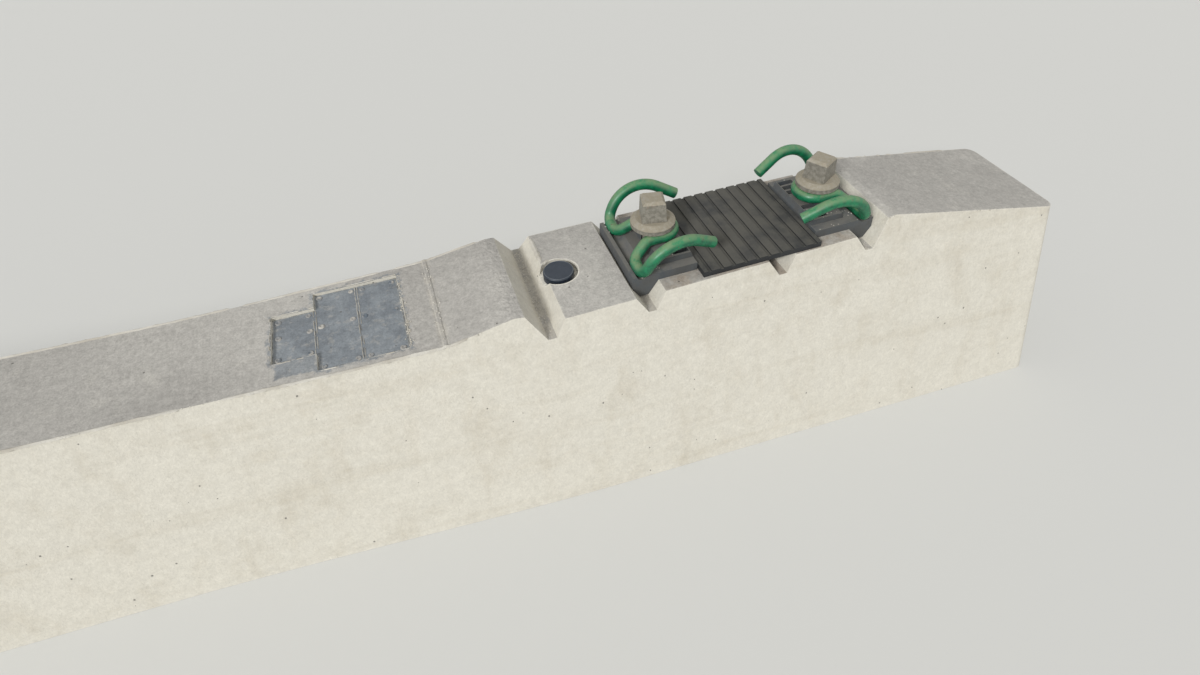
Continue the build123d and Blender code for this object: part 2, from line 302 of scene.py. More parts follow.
def colourSteps():
    return [
        ("cloud", "ramp", "cloud", 0.35, 0.65),
        ("topColour", "tint", concrete["top"], "cloud", concrete["topDark"]),
        ("drag", "ramp", "drag", 0.35, 0.7, 0.35),
        ("topColour", "tint", "topColour", "drag", concrete["topDark"]),
        ("stains", "ramp", "stains", 0.45, 0.75, 0.4),
        ("pours", "ramp", "pours", 0.5, 0.7, 0.3),
        ("drips", "ramp", "drips", 0.5, 0.75, 0.25),
        ("stains", "ADD", "stains", "pours", "drips"),
        ("sideColour", "tint", concrete["side"], "stains", concrete["sideStain"]),
        # sides painted lighter than upward faces: partly smoother, cleaner cast concrete, partly painted
        # light of a sunlit side
        ("colour", "tint", "sideColour", "upward", "topColour"),
        ("palePatches", "ramp", "blotch", 0.55, 0.75, 0.18),
        ("colour", "tint", "colour", "palePatches", concrete["arris"]),
        # slate where the plates lay, scuffed through in places
        ("slateShade", "ramp", "blotch", 0.4, 0.65),
        ("slate", "tint", concrete["panel"], "slateShade", concrete["panelDark"]),
        ("slated", "MULTIPLY", "inPanel", 0.85),
        ("slated", "MAXIMUM", "slated", "oiled"),
        ("scuff", "ramp", "scuff", 0.52, 0.66, 0.4),
        ("unscuffed", "SUBTRACT", 1.0, "scuff"),
        ("slated", "MULTIPLY", "slated", "unscuffed"),
        ("colour", "tint", "colour", "slated", "slate"),
        # grime in grooves and along the joint, rust on the rail seats, and the recess and its rim painted
        # pale: partly cement paste, partly painted light of a sunlit recess wall and rim
        ("grimy", "MULTIPLY", "atJoint", "upward", 0.6),
        ("grimy", "MAXIMUM", "grimy", "inGroove"),
        ("dirt", "ramp", "dirt", 0.3, 0.6, 0.4),
        ("grimy", "MULTIPLY", "grimy", "dirt"),
        ("colour", "tint", "colour", "grimy", concrete["grime"]),
        ("colour", "tint", "colour", "seatFilm", concrete["seatRust"]),
        ("colour", "tint", "colour", "inRecess", concrete["arris"]),
        ("colour", "tint", "colour", "atRim", concrete["rim"]),
        # arrises rubbed pale, but for the joint, where dust hides it
        ("worn", "ramp", "turn", 0.985, 0.9, 0.8),
        ("wornPatches", "ramp", "blotch", 0.35, 0.6),
        ("offJoint", "MULTIPLY_ADD", "atJoint", -0.8, 1.0),
        ("worn", "MULTIPLY", "worn", "wornPatches", "offJoint"),
        ("colour", "tint", "colour", "worn", concrete["arris"]),
        # sand grain and mottle, more even on the sides
        ("speckle", "MULTIPLY_ADD", "grain", 0.76, 0.62),
        ("mottled", "MULTIPLY_ADD", "mottle", 0.64, 0.68),
        ("speckle", "MULTIPLY", "speckle", "mottled"),
        ("speckle", "SUBTRACT", "speckle", 1.0),
        ("uneven", "MULTIPLY_ADD", "upward", 0.55, 0.45),
        ("speckle", "MULTIPLY_ADD", "speckle", "uneven", 1.0),
        ("colour", "shade", "colour", "speckle", 1.0),
        # pores painted dark as painted shade in the pits; the fine cracks take the same dark colour
        ("dark", "MULTIPLY", "pore", 0.75),
        ("dark", "MAXIMUM", "dark", "crack"),
        ("colour", "tint", "colour", "dark", concrete["pore"]),
    ]


def reliefSteps():
    return [
        ("wrinkled", "ramp", "wrinkled", 0.42, 0.62, 0.9),
        ("height", "MULTIPLY", "wave", "wrinkled", "upward"),
        ("height", "MULTIPLY_ADD", "grain", 0.55, "height"),
        ("height", "MULTIPLY_ADD", "blotch", 0.9, "height"),
        ("height", "MULTIPLY_ADD", "mottle", 0.6, "height"),
        ("height", "MULTIPLY_ADD", "pulled", 2.2, "height"),
        ("height", "MULTIPLY_ADD", "pore", -1.2, "height"),
        ("roughness", "MULTIPLY_ADD", "inPanel", -0.25, 0.92),
    ]


def concreteMaterial():
    material, tree, made = startMaterial("castConcrete", concrete["patterns"], "True Normal")
    cells = addNode(
        tree, "ShaderNodeTexVoronoi", {"Vector": made["place"], "Scale": 1000 / concrete["poreMm"]}
    ).outputs
    made["poreReach"] = cells["Distance"]
    made["poreSeed"] = addNode(tree, "ShaderNodeSeparateColor", {0: cells["Color"]})
    # near an arris the rounded normal turns away from the flat one
    rounded = addNode(tree, "ShaderNodeBevel", {"Radius": concrete["arrisMm"] * mm}, samples=4)
    made["turn"] = addNode(
        tree, "ShaderNodeVectorMath", {0: rounded, 1: made["normal"]}, operation="DOT_PRODUCT"
    )
    for steps in (placeSteps(), plateSteps(), maskSteps(), colourSteps(), reliefSteps()):
        addSteps(tree, made, steps)
    finishMaterial(tree, made, concrete["bumpMm"], Roughness="roughness")
    return material


def pasteMaterial():
    # thin fins and crumbs of cement paste: pale, matt and crumbly
    patterns = {"blotch": (30, 2, 0.5), "grain": (2.5, 3, 0.7)}
    material, tree, made = startMaterial("cementPaste", patterns)
    addSteps(tree, made, [
        ("blotch", "ramp", "blotch", 0.35, 0.65),
        ("colour", "tint", concrete["arris"], "blotch", concrete["grime"]),
        ("sandy", "MULTIPLY", "grain", 0.9),
        ("colour", "tint", "colour", "sandy", concrete["top"]),
        ("height", "MULTIPLY", "grain", 1.0),
    ])
    finishMaterial(tree, made, bumpMm=0.5, Roughness=0.95)
    return material


def imprintMaterial():
    # where the plates' screws pressed into the paste: slate like the panel, with dust in the cups
    patterns = {"blotch": (9, 3, 0.5), "grain": (1.5, 2, 0.5)}
    material, tree, made = startMaterial("imprintedConcrete", patterns)
    addSteps(tree, made, [
        ("shade", "ramp", "blotch", 0.35, 0.6),
        ("colour", "tint", concrete["panelDark"], "shade", concrete["topDark"]),
        ("dusty", "ramp", "blotch", 0.55, 0.7, 0.4),
        ("colour", "tint", "colour", "dusty", concrete["arris"]),
        ("height", "MULTIPLY", "grain", 1.0),
    ])
    finishMaterial(tree, made, bumpMm=0.3, Roughness=0.85)
    return material


# Fastening materials

clampPaint = {
    "green": "#17764D", "greenDark": "#0A5139", "dust": "#8CA377", "dustAmount": 0.55, "chip": "#5B4A3C",
    "patterns": {"lump": (9, 4, 0.65), "fine": (1.6, 2, 0.5), "chips": (5, 3, 0.5)},
}


def clampMaterial():
    # hot-rolled spring steel under a thick green epoxy coat, glossy where no dust lies on it
    material, tree, made = startMaterial("greenEpoxySpringSteel", clampPaint["patterns"])
    addSteps(tree, made, [
        ("shade", "ramp", "lump", 0.3, 0.7),
        ("colour", "tint", clampPaint["green"], "shade", clampPaint["greenDark"]),
        ("settled", "ramp", "lump", 0.25, 0.6),
        ("dusty", "ramp", "facing", 0.15, 0.95),
        ("dusty", "MULTIPLY", "dusty", "settled", clampPaint["dustAmount"]),
        ("colour", "tint", "colour", "dusty", clampPaint["dust"]),
        ("chips", "GREATER_THAN", "chips", 0.73),
        ("colour", "tint", "colour", "chips", clampPaint["chip"]),
        ("roughness", "MULTIPLY_ADD", "dusty", 0.6, 0.33),
        ("height", "MULTIPLY_ADD", "fine", 0.12, "lump"),
    ])
    finishMaterial(tree, made, bumpMm=0.35, Roughness="roughness")
    return material


screwSteel = {
    "zinc": "#98948A", "zincDark": "#7E7A70", "dust": "#AAA18D", "dustAmount": 0.6, "rust": "#8A6E54",
    "patterns": {"lump": (4, 4, 0.65), "fine": (1.2, 3, 0.7), "rust": (12, 5, 0.7)},
}


def screwMaterial():
    # hot-dip galvanised forging: dull zinc, uneven, with dust and a trace of rust
    material, tree, made = startMaterial("galvanisedForging", screwSteel["patterns"])
    addSteps(tree, made, [
        ("shade", "ramp", "lump", 0.35, 0.65),
        ("colour", "tint", screwSteel["zinc"], "shade", screwSteel["zincDark"]),
        ("rust", "ramp", "rust", 0.56, 0.7, 0.4),
        ("colour", "tint", "colour", "rust", screwSteel["rust"]),
        ("settled", "ramp", "lump", 0.2, 0.55),
        ("dusty", "ramp", "facing", 0.2, 0.9),
        ("dusty", "MULTIPLY", "dusty", "settled"),
        ("dustCoat", "MULTIPLY", "dusty", screwSteel["dustAmount"]),
        ("colour", "tint", "colour", "dustCoat", screwSteel["dust"]),
        ("roughness", "MULTIPLY_ADD", "dusty", 0.4, 0.5),
        ("height", "MULTIPLY_ADD", "fine", 0.5, "lump"),
    ])
    finishMaterial(tree, made, bumpMm=0.3, Roughness="roughness", Metallic=0.35)
    return material


plastics = {
    # glass-filled nylon, near black when new and grey with dust in use
    "glassFilledNylon": {
        "base": "#40474D", "shade": "#30363B", "dust": "#827E76", "dustAmount": 0.62, "roughness": 0.55,
        "lumpMm": 18, "dustFrom": 0.15, "onSides": 0.35,
    },
    # injection-moulded polyethylene cap: near black with a soft shine
    "polyethyleneCap": {
        "base": "#252E3B", "shade": "#1B232F", "dust": "#5C646C", "dustAmount": 0.18, "roughness": 0.38,
        "lumpMm": 7, "dustFrom": 0.25, "onSides": 0.0,
    },
    # the cap's lip: painted paler as a painted highlight along the cap's edge, and a little dusty
    "polyethyleneLipHighlight": {
        "base": "#4A525B", "shade": "#343C46", "dust": "#8E9193", "dustAmount": 0.4, "roughness": 0.4,
        "lumpMm": 6, "dustFrom": 0.25, "onSides": 0.0,
    },
    # polyamide dowel, cast in and never polished: dark and dull
    "polyamideDowel": {
        "base": "#26272A", "shade": "#1C1D20", "dust": "#55534E", "dustAmount": 0.3, "roughness": 0.5,
        "lumpMm": 18, "dustFrom": 0.25, "onSides": 0.0,
    },
    # vulcanised rubber, matt and dark
    "vulcanisedRubber": {
        "base": "#26282A", "shade": "#1C1E20", "dust": "#7C796F", "dustAmount": 0.4, "roughness": 0.7,
        "lumpMm": 30, "dustFrom": 0.2, "onSides": 0.0,
    },
}


def plasticMaterial(name):
    # moulded: even colour, fine mould grain, dust where it faces up and a share of it on the sides
    finish = plastics[name]
    patterns = {"lump": (finish["lumpMm"], 4, 0.6), "fine": (1.8, 2, 0.5)}
    material, tree, made = startMaterial(name, patterns)
    addSteps(tree, made, [
        ("shade", "ramp", "lump", 0.35, 0.65),
        ("colour", "tint", finish["base"], "shade", finish["shade"]),
        ("settled", "ramp", "lump", finish["dustFrom"], finish["dustFrom"] + 0.4),
        ("dusty", "ramp", "facing", 0.3, 0.95),
        ("dusty", "MAXIMUM", "dusty", finish["onSides"]),
        ("dusty", "MULTIPLY", "dusty", "settled"),
        ("dustCoat", "MULTIPLY", "dusty", finish["dustAmount"]),
        ("colour", "tint", "colour", "dustCoat", finish["dust"]),
        ("roughness", "MULTIPLY_ADD", "dusty", 0.3, finish["roughness"]),
        ("height", "ADD", "lump", "fine"),
        ("height", "MULTIPLY", "height", 0.5),
    ])
    finishMaterial(tree, made, bumpMm=0.2, Roughness="roughness")
    return material


cementPaste = pasteMaterial()
imprintedConcrete = imprintMaterial()
# the cap lips' paler colour is a painted highlight along each cap's edge
capLipHighlight = plasticMaterial("polyethyleneLipHighlight")
nodeMaterials = {
    "sleeper_body": concreteMaterial(),
    "guide_plate": plasticMaterial("glassFilledNylon"),
    "tension_clamp": clampMaterial(),
    "screw_spike": screwMaterial(),
    "screw_dowel": plasticMaterial("polyamideDowel"),
    "dowel_cap": plasticMaterial("polyethyleneCap"),
    "rail_pad": plasticMaterial("vulcanisedRubber"),
}
for name, node in nodes.items():
    for start, material in nodeMaterials.items():
        if name.startswith(start):
            node.data.materials.clear()
            node.data.materials.append(material)
print("materials made:", len(nodeMaterials))


# Meshes and pieces

def faceOutwards(mesh):
    shape = bmesh.new()
    shape.from_mesh(mesh)
    bmesh.ops.recalc_face_normals(shape, faces=shape.faces)
    shape.to_mesh(mesh)
    shape.free()


def addPiece(name, mesh):
    faceOutwards(mesh)
    piece = bpy.data.objects.new(name, mesh)
    bpy.context.scene.collection.objects.link(piece)
    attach(piece, "root")


def makeMesh(name, shape, material):
    vertices, faces = shape
    mesh = bpy.data.meshes.new(name)
    mesh.from_pydata(vertices, [], faces)
    mesh.validate()
    mesh.materials.append(material)
    return mesh


def addShape(whole, more):
    # shapes are a list of points and a list of faces
    whole[1].extend([tuple(len(whole[0]) + index for index in face) for face in more[1]])
    whole[0].extend(more[0])


def ridge(points, sizes, across):
    # a low ridge with five corners across, closed at both ends, along points
    profile = ((-1.0, -0.6), (-0.7, 0.35), (0.0, 1.0), (0.75, 0.4), (1.0, -0.6))
    vertices, faces = [], []
    for point, (width, height) in zip(points, sizes):
        for sideways, up in profile:
            vertices.append(point + across * sideways * width / 2 + Vector((0, 0, up * height)))
    count = len(profile)
    for ring in range(len(points) - 1):
        for corner in range(count):
            a, b = ring * count + corner, ring * count + (corner + 1) % count
            faces.append((a, b, b + count, a + count))
    faces.append(tuple(range(count)))
    faces.append(tuple(reversed(range((len(points) - 1) * count, len(points) * count))))
    return vertices, faces


# Where things are on the concrete, found by rays against its own mesh

def surfaceOf(node):
    mesh = node.data
    return BVHTree.FromPolygons([v.co.copy() for v in mesh.vertices], [p.vertices[:] for p in mesh.polygons])


bodySurface = surfaceOf(nodes["sleeper_body"])


def topAt(x, y, surface=bodySurface):
    # the point of the surface straight below (x, y) and its normal, or None twice
    return surface.ray_cast(Vector((x, y, 1.0)), Vector((0, 0, -1)))[:2]


def arrisAt(x, side, inner=0.03, outer=0.15, looksUp=0.7):
    # halving towards the long top edge: inside it the top looks up, outside the side leans
    for halving in range(14):
        middle = (inner + outer) / 2
        hit, normal = topAt(x, side * middle)
        if hit is not None and normal.z > looksUp:
            inner = middle
        else:
            outer = middle
    return topAt(x, side * inner)[0]


# Ragged fins left along the long top edges by the rim of the mould

arrisFin = {
    "stepMm": 4, "widthMm": 4.4, "heightMm": 1.6, "wanderMm": 0.6,
    "share": 0.85,                           # how much of an edge has them
    "tipMm": (0.4, 0.1),                     # how wide and high a fin ends
    "reach": 1.285,                          # from the middle to the last fin
    "seat": (0.57, 1.04),                    # none lie along the rail seats
    "swells": (14, 60, 150),                 # per metre: long ones, short ones and the wander
}


def makeArrisFins():
    shape = [], []
    longSwell, shortSwell, wander = arrisFin["swells"]
    for side in (-1, 1):
        x = -arrisFin["reach"]
        run, sizes = [], []
        while x < arrisFin["reach"]:
            here = arrisAt(x, side)
            strength = noise.noise(Vector((x * longSwell, side * 3.1, 0.7)))
            strength += noise.noise(Vector((x * shortSwell, side, 5.0))) * 0.5
            onSeat = arrisFin["seat"][0] < abs(x) < arrisFin["seat"][1]
            if here is not None and strength > 0.5 - arrisFin["share"] and not onSeat:
                jitter = noise.noise(Vector((x * wander, side * 9.0, 2.0)))
                run.append(here + Vector((0, side * jitter * arrisFin["wanderMm"] * mm, 0)))
                sizes.append((
                    arrisFin["widthMm"] * mm * (0.7 + 0.9 * abs(jitter)),
                    arrisFin["heightMm"] * mm * max(0.15, 0.5 + strength),
                ))
            else:
                if len(run) > 2:
                    sizes[0] = sizes[-1] = [size * mm for size in arrisFin["tipMm"]]
                    addShape(shape, ridge(run, sizes, Vector((0, 1, 0))))
                run, sizes = [], []
            x += arrisFin["stepMm"] * mm
    addPiece("arrisFins", makeMesh("arrisFins", shape, cementPaste))


makeArrisFins()
print("arris fins made")


# Marking panels: fins between the mould's plates and round them

panelFin = {
    "widthMm": 1.8, "heightMm": 1.2, "stepMm": 3, "wanderMm": 0.5, "swellsPerMetre": 130,
    "seamGapMm": 1.3,                        # each seam has two thin fins, this far off its middle
    "seamInsetMm": 1.5,
    "rimMm": 1.6,                            # how far paste crept over the top round the plates
    # share of the width, share of the height, and how much of a run is missing
    "seam": (0.6, 0.7, 0.15),
    "sides": (1.0, 0.6, 0.35),
    "ends": (1.0, 0.7, 0.3),
    "square": (1.0, 0.5, 0.4),
}


def finRun(shape, start, end, kind):
    # broken ridges on the concrete from start to end
    wide, high, gaps = panelFin[kind]
    start, end = Vector(start), Vector(end)
    along = (end - start).normalized()
    across = Vector((-along.y, along.x))
    steps = max(4, int((end - start).length / (panelFin["stepMm"] * mm)))
    run, sizes = [], []
    for i in range(steps + 1):
        place = start.lerp(end, i / steps)
        seed = Vector((*(place * panelFin["swellsPerMetre"]), 1.0))
        place += across * noise.noise(seed) * panelFin["wanderMm"] * mm
        swell = 0.75 + 0.7 * noise.noise(seed * 2.3)
        broken = noise.noise(seed * 0.9 + Vector((0, 0, 7))) < gaps - 0.5
        hit = None if broken else topAt(place.x, place.y)[0]
        if hit is not None:
            run.append(hit)
            sizes.append((panelFin["widthMm"] * mm * wide * swell, panelFin["heightMm"] * mm * high * swell))
        if (hit is None or i == steps) and len(run) > 2:
            addShape(shape, ridge(run, sizes, Vector((across.x, across.y, 0))))
        if hit is None:
            run, sizes = [], []


def makePanelFins():
    shape = [], []
    edges = [edge * mm for edge in markingPlates["edgesMm"]]
    halves = [half * mm for half in markingPlates["halfWidthsMm"]]
    gap, inset, rim = [panelFin[key] * mm for key in ("seamGapMm", "seamInsetMm", "rimMm")]
    for x, half in ((edges[1], halves[0]), (edges[2], halves[2])):
        for shift in (-gap, gap):
            finRun(shape, (x + shift, inset - half), (x + shift, half - inset), "seam")
    for low, high, half in zip(edges, edges[1:], halves):
        for side in (-1, 1):
            finRun(shape, (low, side * (half + rim)), (high, side * (half + rim)), "sides")
    for x, half in ((edges[0] - rim, halves[0]), (edges[-1] + rim, halves[-1])):
        finRun(shape, (x, -half), (x, half), "ends")
    low, high, half = [value * mm for value in markingPlates["squareMm"]]
    for side in (-1, 1):
        finRun(shape, (low, side * (half + rim)), (high, side * (half + rim)), "square")
    for x in (low - rim, high + rim):
        finRun(shape, (x, -half), (x, half), "square")
    addPiece("panelFins", makeMesh("panelFins", shape, cementPaste))


makePanelFins()
print("panel fins made")


# Copies of one small shape on many points

def scatterTree(name, unit, material):
    # copies of unit on every point, with named inputs for their size, its spread and their tilt
    tree = bpy.data.node_groups.new(name, "GeometryNodeTree")
    tree.is_modifier = True
    tree.interface.new_socket("Geometry", in_out="INPUT", socket_type="NodeSocketGeometry")
    sockets = {
        key: tree.interface.new_socket(key, in_out="INPUT", socket_type="NodeSocketFloat").identifier
        for key in ("Size", "Spread", "Tilt")
    }
    tree.interface.new_socket("Geometry", in_out="OUTPUT", socket_type="NodeSocketGeometry")
    given = addNode(tree, "NodeGroupInput").outputs
    shape = addNode(tree, "GeometryNodeObjectInfo", {"Object": unit}).outputs["Geometry"]
    low = addNode(tree, "ShaderNodeMath", {0: 1.0, 1: given["Spread"]}, operation="SUBTRACT")
    high = addNode(tree, "ShaderNodeMath", {0: 1.0, 1: given["Spread"]}, operation="ADD")
    factor = addNode(tree, "FunctionNodeRandomValue", {2: low, 3: high, "Seed": 3}, data_type="FLOAT")
    scale = addNode(tree, "ShaderNodeMath", {0: factor, 1: given["Size"]}, operation="MULTIPLY")
    lean = addNode(tree, "ShaderNodeMath", {0: given["Tilt"], 1: -1.0}, operation="MULTIPLY")
    lowest = addNode(tree, "ShaderNodeCombineXYZ", {0: lean, 1: lean, 2: -math.pi})
    highest = addNode(tree, "ShaderNodeCombineXYZ", {0: given["Tilt"], 1: given["Tilt"], 2: math.pi})
    turn = addNode(
        tree, "FunctionNodeRandomValue", {0: lowest, 1: highest, "Seed": 8}, data_type="FLOAT_VECTOR"
    )
    placed = addNode(tree, "GeometryNodeInstanceOnPoints", {
        "Points": given["Geometry"], "Instance": shape, "Rotation": turn, "Scale": scale,
    })
    whole = addNode(tree, "GeometryNodeRealizeInstances", {0: placed})
    painted = addNode(tree, "GeometryNodeSetMaterial", {0: whole, "Material": material})
    addNode(tree, "NodeGroupOutput", {0: painted})
    return tree, sockets


def scatter(name, unitShape, points, material, **sizes):
    unitMesh = bpy.data.meshes.new(name + "Unit")
    unitMesh.from_pydata(unitShape[0], [], unitShape[1])
    unit = bpy.data.objects.new(name + "Unit", unitMesh)
    cloudMesh = bpy.data.meshes.new(name + "Points")
    cloudMesh.from_pydata(points, [], [])
    cloud = bpy.data.objects.new(name + "Points", cloudMesh)
    bpy.context.scene.collection.objects.link(cloud)
    tree, sockets = scatterTree(name + "Tree", unit, material)
    modifier = cloud.modifiers.new("scatter", "NODES")
    modifier.node_group = tree
    for key, value in sizes.items():
        modifier[sockets[key]] = value
    view = bpy.context.evaluated_depsgraph_get()
    mesh = bpy.data.meshes.new_from_object(cloud.evaluated_get(view))
    mesh.name = name
    bpy.data.objects.remove(cloud)
    bpy.data.objects.remove(unit)
    addPiece(name, mesh)


# Imprints of the screws that held the marking plates

screwImprint = {
    "insetMm": 6.5, "radiusMm": 3.4, "wanderMm": 1.2, "spread": 0.15, "tilt": 0.06,
    "middle": 0.12,                          # the middle screws' place, as a share of the half width
}


def imprintUnit():
    # one screw head's imprint: a low ring round a shallow cup, one unit in radius
    profile = ((0.28, 0.12), (0.42, 0.26), (0.72, 0.30), (0.92, 0.16), (1.0, -0.12))
    around = 14
    vertices, faces = [(0, 0, 0.14)], []
    for radius, height in profile:
        for i in range(around):
            angle = 2 * math.pi * i / around
            vertices.append((radius * math.cos(angle), radius * math.sin(angle), height))
    for i in range(around):
        faces.append((0, 1 + i, 1 + (i + 1) % around))
    for ring in range(len(profile) - 1):
        for i in range(around):
            a, b = 1 + ring * around + i, 1 + ring * around + (i + 1) % around
            faces.append((a, a + around, b + around, b))
    lastRing = 1 + (len(profile) - 1) * around
    faces.append(tuple(reversed(range(lastRing, lastRing + around))))
    return vertices, faces


def makePanelScrews():
    inset = screwImprint["insetMm"] * mm
    edges = [edge * mm for edge in markingPlates["edgesMm"]]
    points = []
    for start, end, half in zip(edges, edges[1:], markingPlates["halfWidthsMm"]):
        for x in (start + inset, end - inset):
            for y in (-half * mm + inset, screwImprint["middle"] * half * mm, half * mm - inset):
                # noise_vector would start from the clock, so each direction has its own noise
                shiftX, shiftY = [
                    noise.noise(Vector((x * 31, y * 47, seed))) * screwImprint["wanderMm"] * mm
                    for seed in (2.0, 7.0)
                ]
                points.append(topAt(x + shiftX, y + shiftY)[0])
    low, high, half = [value * mm for value in markingPlates["squareMm"]]
    for x in (low + inset, high - inset):
        for y in (-half + inset, half - inset):
            points.append(topAt(x, y)[0])
    scatter(
        "panelScrewImprints", imprintUnit(), points, imprintedConcrete,
        Size=screwImprint["radiusMm"] * mm, Spread=screwImprint["spread"], Tilt=screwImprint["tilt"],
    )


makePanelScrews()
print("screw imprints made")


# Mortar that crept over the recess's notch and along the seat's edge by the open groove

mortarSmear = {
    "edgeMm": 632.4, "runMm": (25, 74, 3),   # along the seat's edge: from, to, step
    "ringMm": 24.4, "ringDegrees": (100, 146, 6),
    "widthMm": 7, "heightMm": 1.6, "swellsPerMetre": (90, 110),
}


def smear(shape, path, lean):
    along, across = mortarSmear["swellsPerMetre"]
    points, sizes = [], []
    for i, place in enumerate(path):
        points.append(topAt(place.x, place.y)[0])
        swell = 0.7 + 0.9 * abs(noise.noise(Vector((place.x * along, place.y * across, 4.0))))
        swell *= min(1.0, (i + 1) / 3, (len(path) - i) / 3)
        sizes.append((mortarSmear["widthMm"] * mm * swell, mortarSmear["heightMm"] * mm * swell))
    addShape(shape, ridge(points, sizes, lean))


def makeMortarSmears():
    shape = [], []
    radius = mortarSmear["ringMm"] * mm
    for side in (-1, 1):
        edge = side * mortarSmear["edgeMm"] * mm
        smear(shape, [Vector((edge, y * mm)) for y in range(*mortarSmear["runMm"])], Vector((1, 0, 0)))
        ring = []
        for degrees in range(*mortarSmear["ringDegrees"]):
            angle = math.radians(degrees)
            along = bodyShape["recessAxis"] + radius * math.cos(angle)
            ring.append(Vector((side * along, radius * math.sin(angle))))
        smear(shape, ring, Vector((0.4 * side, 1, 0)).normalized())
    addPiece("mortarSmears", makeMesh("mortarSmears", shape, cementPaste))


makeMortarSmears()
print("mortar smears made")


# Crumbs of cement paste and grit in grooves, recesses, joints and pockets

grit = {
    "sizeMm": 2.1, "spread": 0.6, "tilt": 0.8, "seed": 21,
    # how many lie at each place, and how far they stray across it
    "inGroove": 150, "grooveMm": 3.2, "grooveHalf": 0.079,
    "atJoint": 60, "jointMm": 2.5, "jointHalf": 0.068,
    "atRecess": 40, "recessRadii": (0.0192, 0.0222),
    "atPanel": 90, "panelMm": 1.6, "pastPanelMm": 2,
    "onArris": 340, "arrisReach": 1.28, "seat": (0.59, 1.03), "arrisMm": (-0.5, 1.0), "sunkMm": 0.3,
    "onPlate": 60, "plateInsetMm": 3, "plateShare": (0.4, 0.98), "plateSize": 0.8,
}


def crumbUnit():
    # an irregular grain with twenty faces, one unit across
    shape = bmesh.new()
    bmesh.ops.create_icosphere(shape, subdivisions=1, radius=0.5)
    for vertex in shape.verts:
        vertex.co *= 0.8 + 0.45 * noise.noise(vertex.co * 4.3)
        vertex.co.z *= 0.7
    vertices = [tuple(v.co) for v in shape.verts]
    faces = [tuple(v.index for v in f.verts) for f in shape.faces]
    shape.free()
    return vertices, faces


def scatterCrumbs(name, points, share=1.0):
    scatter(
        name, crumbUnit(), points, cementPaste,
        Size=grit["sizeMm"] * share * mm, Spread=grit["spread"], Tilt=grit["tilt"],
    )


def makeGrit():
    random.seed(grit["seed"])
    places = []
    for side in (-1, 1):
        for axis in bodyShape["grooveAxes"]:
            for i in range(grit["inGroove"]):
                along = side * axis + random.gauss(0, grit["grooveMm"] * mm)
                places.append((along, random.uniform(-grit["grooveHalf"], grit["grooveHalf"])))
        for i in range(grit["atJoint"]):
            along = side * bodyShape["mouldJoint"] + random.gauss(0, grit["jointMm"] * mm)
            places.append((along, random.uniform(-grit["jointHalf"], grit["jointHalf"])))
        for i in range(grit["atRecess"]):
            angle = random.uniform(0, 2 * math.pi)
            radius = random.uniform(*grit["recessRadii"])
            along = side * (bodyShape["recessAxis"] + radius * math.cos(angle))
            places.append((along, radius * math.sin(angle)))
    edge = (markingPlates["edgesMm"][-1] + grit["pastPanelMm"]) * mm
    half = markingPlates["halfWidthsMm"][-1] * mm
    for i in range(grit["atPanel"]):
        along = edge + random.gauss(0, grit["panelMm"] * mm)
        places.append((along, random.uniform(-half, half)))
    points = [point for point in (topAt(x, y)[0] for x, y in places) if point is not None]
    for i in range(grit["onArris"]):
        x = random.uniform(-grit["arrisReach"], grit["arrisReach"])
        side = random.choice((-1, 1))
        place = arrisAt(x, side)
        if place is not None and not grit["seat"][0] < abs(x) < grit["seat"][1]:
            across = side * random.uniform(*grit["arrisMm"]) * mm
            points.append(place + Vector((0, across, -grit["sunkMm"] * mm)))
    scatterCrumbs("cementCrumbs", points)


def makePlateGrit():
    # the same fines lie on the guide plates, mostly in their pockets and behind the clamps' heels
    random.seed(grit["seed"] + 1)
    inset = grit["plateInsetMm"] * mm
    points = []
    for name, node in nodes.items():
        if not name.startswith("guide_plate"):
            continue
        low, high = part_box(name)
        surface = surfaceOf(node)
        for i in range(grit["onPlate"]):
            x = random.uniform(low[0] + inset, high[0] - inset)
            y = random.choice((-1, 1)) * random.uniform(*grit["plateShare"]) * high[1]
            hit, normal = topAt(x, y, surface)
            if hit is not None and normal.z > 0.9:
                points.append(hit)
    scatterCrumbs("plateCrumbs", points, grit["plateSize"])


makeGrit()
makePlateGrit()
print("crumbs made")


# Lip round the top of each cap

capLip = {"radiusMm": 16.8, "tubeMm": 0.5, "around": 64, "across": 8}


def lipRing(name):
    low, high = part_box(name)
    centreX, centreY = (low[0] + high[0]) / 2, (low[1] + high[1]) / 2
    surface = surfaceOf(nodes[name])
    around, across = capLip["around"], capLip["across"]
    vertices, faces = [], []
    for i in range(around):
        angle = 2 * math.pi * i / around
        ray = Vector((math.cos(angle), math.sin(angle), 0))
        out = ray * capLip["radiusMm"] * mm
        hit = topAt(centreX + out.x, centreY + out.y, surface)[0]
        for j in range(across):
            bend = 2 * math.pi * j / across
            offset = ray * math.cos(bend) + Vector((0, 0, math.sin(bend)))
            vertices.append(hit + offset * capLip["tubeMm"] * mm)
            ring, nextRing = i * across, (i + 1) % around * across
            following = (j + 1) % across
            faces.append((ring + j, ring + following, nextRing + following, nextRing + j))
    return vertices, faces


def makeCapLips():
    shape = [], []
    for name in ("dowel_cap_right", "dowel_cap_left"):
        addShape(shape, lipRing(name))
    # the lip carries the painted highlight of the cap's edge
    mesh = makeMesh("capLips", shape, capLipHighlight)
    mesh.shade_smooth()
    addPiece("capLips", mesh)


makeCapLips()
print("cap lips made")


# Studio: pale floor, soft light and the camera

